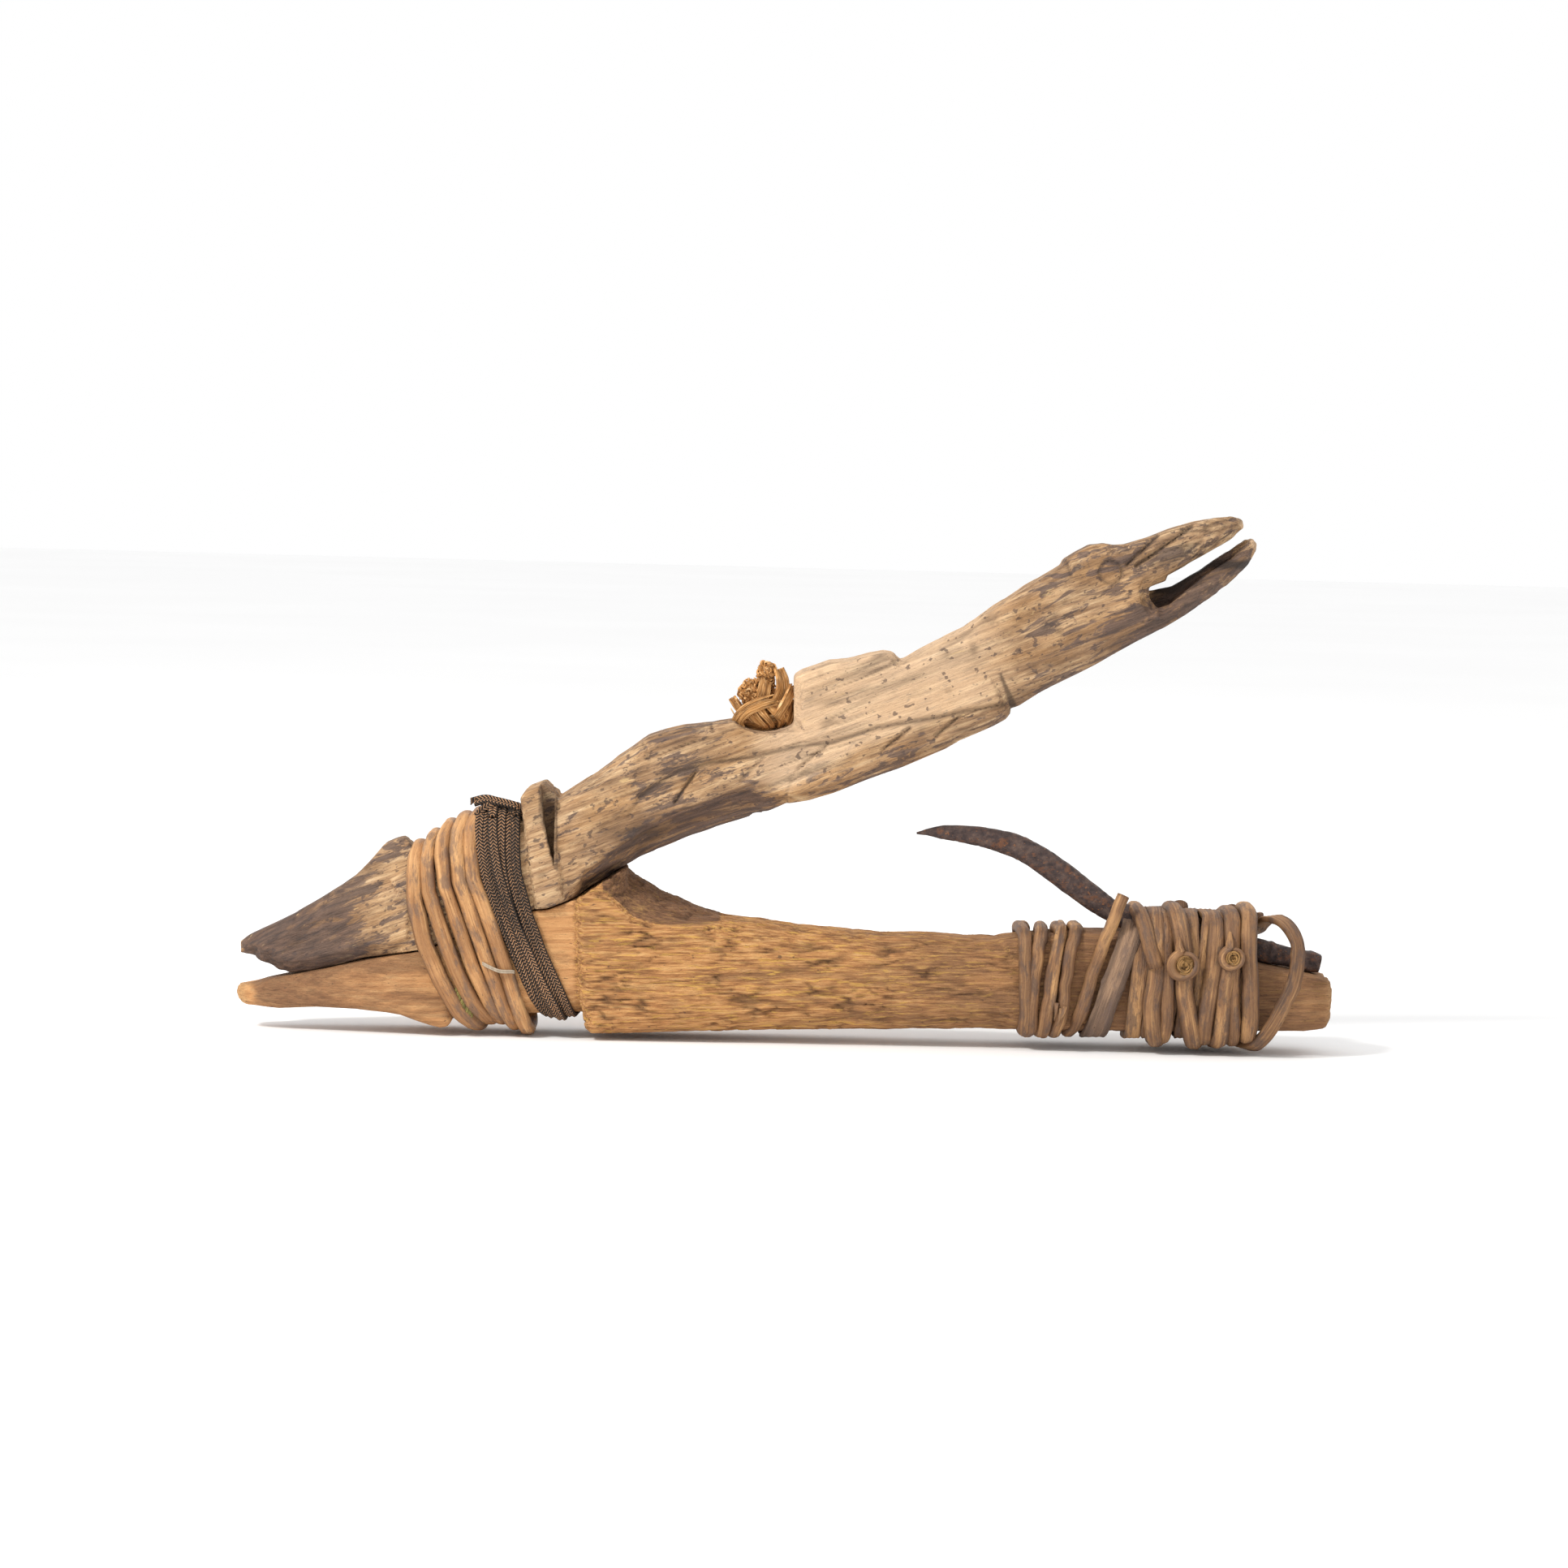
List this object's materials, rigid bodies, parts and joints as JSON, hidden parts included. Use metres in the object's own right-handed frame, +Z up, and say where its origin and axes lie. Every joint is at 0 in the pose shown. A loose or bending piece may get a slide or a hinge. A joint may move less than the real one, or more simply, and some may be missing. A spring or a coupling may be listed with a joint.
{
  "type": "halibut hook",
  "caption": "V-shaped wooden halibut hook: two whittled arms lashed with split root and braid, an iron barb bound on the lower arm and a knotted leader stub.",
  "frame": {"origin": "under the middle of the hook's box, on the surface that it stands on", "axes": "+X along the lower arm towards its free end, +Z up, front (the side with the root eyes) at -Y"},
  "size_m": [0.279, 0.0356, 0.1364],
  "materials": {
    "carved_wood": "whittled, weathered grey-brown with pale worn edges",
    "lower_wood": "rough, cracked, orange-brown with lifted fibres",
    "forged_iron": "forged, pitted and rusty",
    "split_root": "smooth split root with grey stains",
    "dark_root": "dry split root, darkened",
    "braided_cord": "flat braid with a dull copper glint",
    "bark_fibre": "stranded dry bark",
    "moss_cord": "twisted, dull",
    "thread": "translucent thread"
  },
  "bodies": {
    "hook": {"carved_arm": "carved_wood", "lower_arm": "lower_wood", "iron_barb": "forged_iron", "joint_root_winding": "split_root", "joint_braid_winding": "braided_cord", "braid_tail": "braided_cord", "packing_cord": "moss_cord", "fixing_thread": "thread", "barb_front_root": "dark_root", "barb_flat_root": "dark_root", "barb_inner_winding": "dark_root", "barb_outer_root_1": "dark_root", "barb_outer_root_2": "dark_root", "barb_loose_loop": "dark_root", "root_eye_1": "dark_root", "root_end_1": "dark_root", "root_eye_2": "dark_root", "root_end_2": "dark_root"},
    "leader": {"leader_stub": "bark_fibre", "knot_base_wraps": "bark_fibre", "knot_top_wraps": "bark_fibre", "knot_front_strip": "bark_fibre", "knot_right_strand": "bark_fibre", "knot_back_strip": "bark_fibre", "knot_left_leaf": "bark_fibre", "knot_left_stub": "bark_fibre", "knot_right_leaf": "bark_fibre"}
  },
  "joints": [
    {"name": "leader_slide", "type": "slide", "parent": "hook", "child": "leader", "axis": [-0.0255, 0, 0.9997], "range_m": [0, 0.016]}
  ]
}
